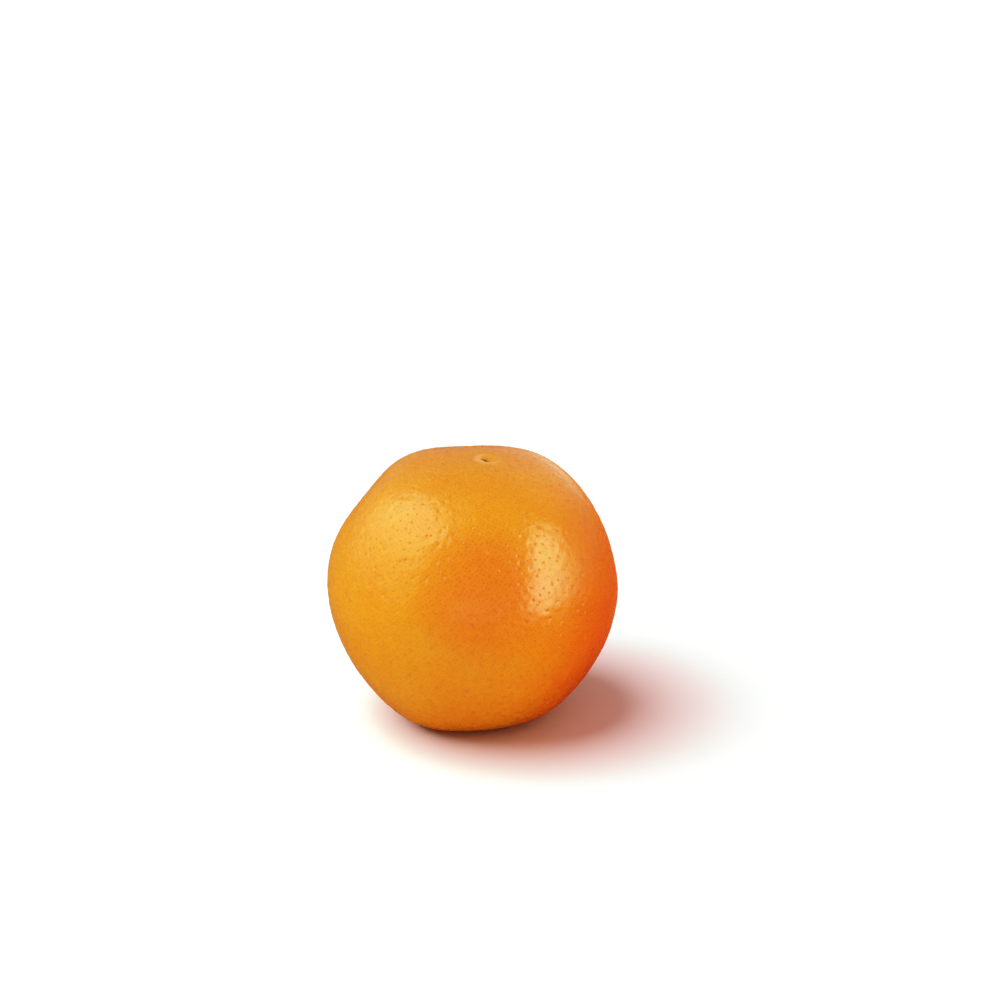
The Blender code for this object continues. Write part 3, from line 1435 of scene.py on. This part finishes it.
@dataclass(frozen=True)
class Calyx:
    """The button that the stem leaves: five blunt sepals round a short hollow stub.

    Attributes:
        lobes: how many sepals.
        lobe: how far a sepal reaches out, and a notch falls back, as a share of the radius.
        widest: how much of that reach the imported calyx's half width holds.
        stub: the stub's radius, as a share of the calyx's.
        crease: depth of the crease between two sepals, in metres.
        ripples: how many small ripples run round the sepals.
        ripple: their height, in metres.
        rings: grid rings from the upper middle round the edge to the stub's end.
        spokes: grid points round each ring.
    """

    lobes: int = 5
    lobe: float = 0.17
    widest: float = 0.85
    stub: float = 0.4
    crease: float = 0.16 * MM
    ripples: float = 23.0
    ripple: float = 0.03 * MM
    rings: int = 72
    spokes: int = 160

    def outline(self, reach: float, low: float, high: float) -> Array:
        """The calyx's half outline, from its upper middle round its edge to its stub's end.

        A Catmull-Rom curve through its named points, in equal steps.

        Args:
            reach: the mean radius, in metres.
            low: height of the stub's end.
            high: height of the upper face.

        Returns:
            Radius and height, one pair a row.
        """
        tall = high - low
        knots = np.array(
            [
                (0.0, high - 0.01 * tall),
                (0.5 * reach, high),
                (0.9 * reach, high - 0.05 * tall),
                (1.0 * reach, high - 0.17 * tall),
                (0.92 * reach, high - 0.28 * tall),
                (0.66 * reach, high - 0.4 * tall),
                (1.12 * self.stub * reach, high - 0.5 * tall),
                (0.98 * self.stub * reach, high - 0.66 * tall),
                (1.0 * self.stub * reach, high - 0.9 * tall),
                (0.8 * self.stub * reach, low),
                (0.5 * self.stub * reach, low + 0.1 * tall),
                (0.0, low + 0.16 * tall),
            ]
        )
        padded = np.vstack([2 * knots[0] - knots[1], knots, 2 * knots[-1] - knots[-2]])
        along = np.linspace(0.0, len(knots) - 1.0, self.rings)
        span = np.minimum(along.astype(int), len(knots) - 2)
        t = (along - span)[:, None]
        a, b, c, d = (padded[span + k] for k in range(4))
        curve = 0.5 * (2 * b + (c - a) * t + (2 * a - 5 * b + 4 * c - d) * t**2)
        curve += 0.5 * (3 * b - a - 3 * c + d) * t**3
        curve[:, 0] = np.maximum(curve[:, 0], 0.0)
        curve[[0, -1], 0] = 0.0
        return curve

    def build(self) -> Piece:
        """Makes the calyx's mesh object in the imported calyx's box.

        A turned outline whose radius swells and falls back five times a turn, with a crease
        between the sepals and small ripples on them.

        Returns:
            The object.
        """
        low, high = (np.array(corner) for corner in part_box("calyx"))
        middle = (low + high) / 2.0
        reach = (high[0] - low[0]) / 2.0 / (1.0 + self.widest * self.lobe)
        curve = self.outline(reach, low[2], high[2])
        turn = np.linspace(0.0, math.tau, self.spokes, endpoint=False)
        radius, around = np.meshgrid(curve[:, 0], turn, indexing="ij")
        height = np.repeat(curve[:, 1][:, None], self.spokes, axis=1)
        out = smoothstep(self.stub, 1.0, radius / reach)
        star = np.cos(self.lobes * around)
        uneven = 0.04 * np.cos(around + 0.8) + 0.03 * np.cos(3.0 * around + 2.0)
        radius = radius * (1.0 + out * (self.lobe * star + uneven))
        crease = self.crease * (out * (0.5 - 0.5 * star) ** 6)
        ripple = self.ripple * np.cos(self.ripples * around) * out
        under = np.arange(self.rings)[:, None] > 0.3 * self.rings
        height = height + np.where(under, crease + ripple, 0.0)
        points = np.stack([radius * np.cos(around), radius * np.sin(around), height], axis=-1)
        points = (points + np.array([middle[0], middle[1], 0.0])).reshape(-1, 3)
        piece = mesh_object("orange_calyx", points, ring_quads(self.rings, self.spokes))
        weld_poles(piece)
        return piece


# ---------------------------------------------------------------------------- the studio


def flagged_pieces() -> bpy.types.Collection:
    """The collection of pieces that the lamps flagged off the floor light."""
    name = "flagged_pieces"
    return bpy.data.collections.get(name) or bpy.data.collections.new(name)


@dataclass(frozen=True)
class Lamp:
    """A soft lamp that faces the fruit.

    Attributes:
        name: the lamp's name.
        azimuth: where it stands, in degrees; the front is -90.
        elevation: its height over the fruit's middle, in degrees.
        strength: how bright the fruit's side that faces it becomes, where white is 1.
        adds: what it adds to a surface.
        colour: of its light.
        roll: how far it is turned about the line to the fruit, in degrees.
        on_fruit: whether it is flagged off the floor and lights the fruit alone.
    """

    name: str
    azimuth: float
    elevation: float
    strength: float
    adds: Light
    colour: Colour = (1.0, 1.0, 1.0)
    roll: float = 0.0
    on_fruit: bool = False

    def place(self, data: bpy.types.Light, target: Vector, away: float) -> Piece:
        """Puts the lamp where it stands, turned to the fruit.

        Args:
            data: the lamp's light.
            target: the fruit's middle.
            away: how far the lamp is from it.

        Returns:
            The lamp's object.
        """
        data.color = self.colour
        lamp = bpy.data.objects.new(self.name, data)
        towards = Vector(direction_of(self.azimuth, self.elevation))
        lamp.location = target + towards * away
        rolled = Quaternion((0.0, 0.0, 1.0), math.radians(self.roll))
        lamp.rotation_euler = (towards.to_track_quat("Z", "Y") @ rolled).to_euler()
        lamp.visible_diffuse, lamp.visible_glossy = self.adds.value
        if self.on_fruit:
            lamp.light_linking.receiver_collection = flagged_pieces()
        bpy.context.scene.collection.objects.link(lamp)
        return lamp


@dataclass(frozen=True)
class Skylight(Lamp):
    """A far-off round lamp, as wide in the sky as its angle.

    Attributes:
        angle: how wide it is, in degrees.
    """

    angle: float = 60.0

    def build(self, target: Vector, width: float) -> Piece:
        """Makes the lamp. Its irradiance is pi times its strength.

        Args:
            target: the fruit's middle.
            width: the fruit's width.

        Returns:
            The lamp's object.
        """
        data = bpy.data.lights.new(self.name, "SUN")
        data.angle = math.radians(self.angle)
        data.energy = math.pi * self.strength
        return self.place(data, target, 10.0 * width)


@dataclass(frozen=True)
class Softbox(Lamp):
    """A rectangular lamp.

    Attributes:
        away: its distance, in fruit widths.
        wide: its width, in fruit widths.
        tall: its height, in fruit widths.
        fades: the share of its size over which it fades at its left, right, lower and upper edge.
    """

    away: float = 8.0
    wide: float = 6.0
    tall: float = 4.0
    fades: tuple[float, float, float, float] = (0.1, 0.1, 0.1, 0.1)

    def build(self, target: Vector, width: float) -> Piece:
        """Makes the lamp. Its power is pi squared times its strength and its distance squared.

        Args:
            target: the fruit's middle.
            width: the fruit's width.

        Returns:
            The lamp's object.
        """
        data = bpy.data.lights.new(self.name, "AREA")
        data.shape = "RECTANGLE"
        data.size = self.wide * width
        data.size_y = self.tall * width
        data.energy = self.strength * (math.pi * self.away * width) ** 2
        self.fade_edges(data)
        return self.place(data, target, self.away * width)

    def fade_edges(self, data: bpy.types.Light) -> None:
        """Fades the lamp at its edges: the product of a smooth rise from each of them.

        Args:
            data: the lamp's light.
        """
        data.use_nodes = True
        wiring = Wiring(data.node_tree)
        across = wiring.node("ShaderNodeNewGeometry").outputs["Parametric"]
        sides = wiring.node("ShaderNodeSeparateXYZ", {"Vector": across}).outputs
        left, right, lower, upper = self.fades
        share = wiring.ramp(sides["X"], (0.0, left))
        for side, ends in (("X", (1.0, 1.0 - right)), ("Y", (0.0, lower)), ("Y", (1.0, 1.0 - upper))):
            share = wiring.maths("MULTIPLY", share, wiring.ramp(sides[side], ends))
        wiring.feed(data.node_tree.nodes["Emission"].inputs["Strength"], share)


@dataclass(frozen=True)
class Studio:
    """White paper, soft light and the camera.

    Attributes:
        elevation: the camera's height over the fruit's middle, in degrees.
        lens: the camera's focal length, in millimetres.
        sensor: the width that it is meant for, in millimetres.
        distance: from the fruit's middle, in metres.
        middle: the fruit's middle, in metres.
        aim_right: how far right of the fruit the camera points, in degrees.
        aim_up: how far above the fruit it points, in degrees.
        clip: the nearest and farthest that it sees, in metres.
        floor_radius: of the paper, in metres.
        floor_rings: rings in the paper's mesh.
        floor_spokes: points round each ring.
        ambient: the warm light of the surroundings.
        gloss: what the fruit's gloss shows of them.
        backdrop: how bright and white they are to the camera.
        response: how the camera turns brightness, first, into the picture's, second.
        red_response: the same for red alone, after the first.
        lamps: the lamps.
    """

    elevation: float = 23.0
    lens: float = 85.0
    sensor: float = 36.0
    distance: float = 0.619
    middle: tuple[float, float, float] = (0.00054, 0.0, 0.0345)
    aim_right: float = 0.665
    aim_up: float = 2.113
    clip: Pair = (0.01, 50.0)
    floor_radius: float = 6.0
    floor_rings: int = 25
    floor_spokes: int = 96
    ambient: Colour = (0.22, 0.07, 0.04)
    gloss: Colour = (0.36, 0.36, 0.42)
    backdrop: float = 2.0
    response: tuple[Pair, ...] = (
        (0.0, 0.0),
        (0.05, 0.03),
        (0.12, 0.10),
        (0.3, 0.31),
        (0.6, 0.64),
        (0.7, 0.76),
        (0.8, 0.91),
        (0.88, 1.0),
        (1.1, 1.07),
        (4.0, 1.2),
    )
    red_response: tuple[Pair, ...] = (
        (0.0, 0.0),
        (0.3, 0.32),
        (0.6, 0.64),
        (0.76, 0.735),
        (0.85, 0.768),
        (0.91, 0.792),
        (0.97, 0.815),
        (1.02, 0.85),
        (1.07, 0.95),
        (1.12, 1.04),
        (4.0, 1.2),
    )
    lamps: tuple[Lamp, ...] = (
        Skylight("key", -176.0, 58.0, 1.0, Light.GLOW, angle=60.0),
        Skylight("overhead", 0.0, 88.0, 0.17, Light.GLOW, angle=140.0),
        Softbox("low_left", -178.0, 12.0, 0.12, Light.GLOW, on_fruit=True, wide=6.0, tall=5.0),
        Softbox("front", -88.0, 3.0, 0.66, Light.GLOW, on_fruit=True, wide=7.0, tall=4.0),
        Softbox("side", -10.0, 7.0, 0.80, Light.GLOW, on_fruit=True, wide=6.0, tall=3.6),
        Softbox(
            "window", 180.0, 35.0, 3.9, Light.SHEEN, SHEEN_TINT,
            wide=14.0, tall=13.0, fades=(0.24, 0.24, 0.7, 0.12),
        ),
        Softbox(
            "strip", -26.0, 17.0, 3.7, Light.SHEEN, SHEEN_TINT,
            roll=-34.0, wide=5.6, tall=14.0, fades=(0.28, 0.6, 0.4, 0.3),
        ),
        Softbox(
            "horizon", 72.0, 8.0, 0.26, Light.SHEEN, SHEEN_TINT,
            away=12.0, wide=8.0, tall=9.0, fades=(0.5, 0.5, 0.1, 0.8),
        ),
        Softbox(
            "back_pane", 54.0, 32.0, 0.20, Light.SHEEN, SHEEN_TINT,
            wide=9.0, tall=7.0, fades=(0.4, 0.4, 0.4, 0.4),
        ),
    )

    def build(self) -> None:
        """Puts the floor, the surroundings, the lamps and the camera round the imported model."""
        low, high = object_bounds()
        target = Vector(self.middle)
        self.lay_floor(low.z)
        self.light_surroundings()
        for lamp in self.lamps:
            lamp.build(target, high.x - low.x)
        self.place_camera(target)
        self.set_response()

    def lay_floor(self, height: float) -> None:
        """Lays a round sheet of paper: rings round its middle, each a fixed ratio wider.

        Args:
            height: of the paper's surface.
        """
        pinhole, inner = 0.1 * MM, 20.0 * MM
        outer = np.geomspace(inner, self.floor_radius, self.floor_rings - 1)
        turn = np.linspace(0.0, math.tau, self.floor_spokes, endpoint=False)
        radius, around = np.meshgrid(np.concatenate([[pinhole], outer]), turn, indexing="ij")
        x, y = radius * np.cos(around), radius * np.sin(around)
        points = np.stack([x, y, np.full_like(radius, height)], -1).reshape(-1, 3)
        quads = ring_quads(self.floor_rings, self.floor_spokes)
        floor = mesh_object("studio_floor", points, quads)
        floor.data.materials.append(PaperFinish().material())
        floor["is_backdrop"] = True

    def light_surroundings(self) -> None:
        """Makes the world white to the camera, pale in the fruit's gloss, and softly warm as light."""
        world = bpy.data.worlds.new("white_room")
        world.use_nodes = True
        wiring = Wiring(world.node_tree)
        path = wiring.node("ShaderNodeLightPath")
        light = wiring.blend(path.outputs["Is Glossy Ray"], self.ambient, self.gloss)
        colour = wiring.blend(path.outputs["Is Camera Ray"], light, (self.backdrop,) * 3)
        wiring.feed(world.node_tree.nodes["Background"].inputs["Color"], colour)
        bpy.context.scene.world = world

    def set_response(self) -> None:
        """Sets how the camera rounds off bright tones, through the scene's colour curves."""
        settings = bpy.context.scene.view_settings
        settings.view_transform = "Standard"
        settings.look = "None"
        settings.use_curve_mapping = True
        mapping = settings.curve_mapping
        mapping.clip_max_x, mapping.clip_max_y = 5.0, 2.0
        mapping.extend = "EXTRAPOLATED"
        red, _, _, every = mapping.curves
        for curve, response in ((every, self.response), (red, self.red_response)):
            curve.points[0].location = response[0]
            curve.points[-1].location = response[-1]
            for place in response[1:-1]:
                curve.points.new(*place)
        mapping.update()

    def place_camera(self, target: Vector) -> None:
        """Points the camera just above and to the right of the fruit.

        Args:
            target: the fruit's middle.
        """
        data = bpy.data.cameras.new("camera")
        data.lens = self.lens
        data.sensor_width = self.sensor
        data.clip_start, data.clip_end = self.clip
        camera = bpy.data.objects.new("camera", data)
        camera.location = target + Vector(direction_of(FRONT, self.elevation)) * self.distance
        pitch = math.radians(90.0 - self.elevation + self.aim_up)
        camera.rotation_euler = (pitch, 0.0, -math.radians(self.aim_right))
        bpy.context.scene.collection.objects.link(camera)
        bpy.context.scene.camera = camera


# ---------------------------------------------------------------------------- the whole


def dress(piece: Piece, material: Material, node: str) -> None:
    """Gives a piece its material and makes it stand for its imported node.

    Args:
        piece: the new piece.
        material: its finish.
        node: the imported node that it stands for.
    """
    piece.data.materials.append(material)
    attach(piece, Body.ROOT.value)
    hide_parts(node)
    flagged_pieces().objects.link(piece)
    LOG.info("%s: %d faces, stands for %s", piece.name, len(piece.data.polygons), node)


def main() -> None:
    """Builds the fruit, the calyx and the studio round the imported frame."""
    logging.basicConfig(level=logging.INFO, format="%(name)s: %(message)s")
    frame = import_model()
    LOG.info("packed nodes: %s", ", ".join(sorted(frame["nodes"])))
    Studio().build()

    mottle, gland = mottle_group(), gland_group()
    fruit = Fruit()
    dress(fruit.build(), RindFinish().material(mottle, gland, fruit.marks()), "fruit")

    low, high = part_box("calyx")
    stub_end = Vector(((low.x + high.x) / 2.0, (low.y + high.y) / 2.0, low.z))
    calyx_finish = CalyxFinish().material(mottle, stub_end, (high.x - low.x) / 2.0)
    dress(Calyx().build(), calyx_finish, "calyx")


if __name__ == "__main__":
    main()
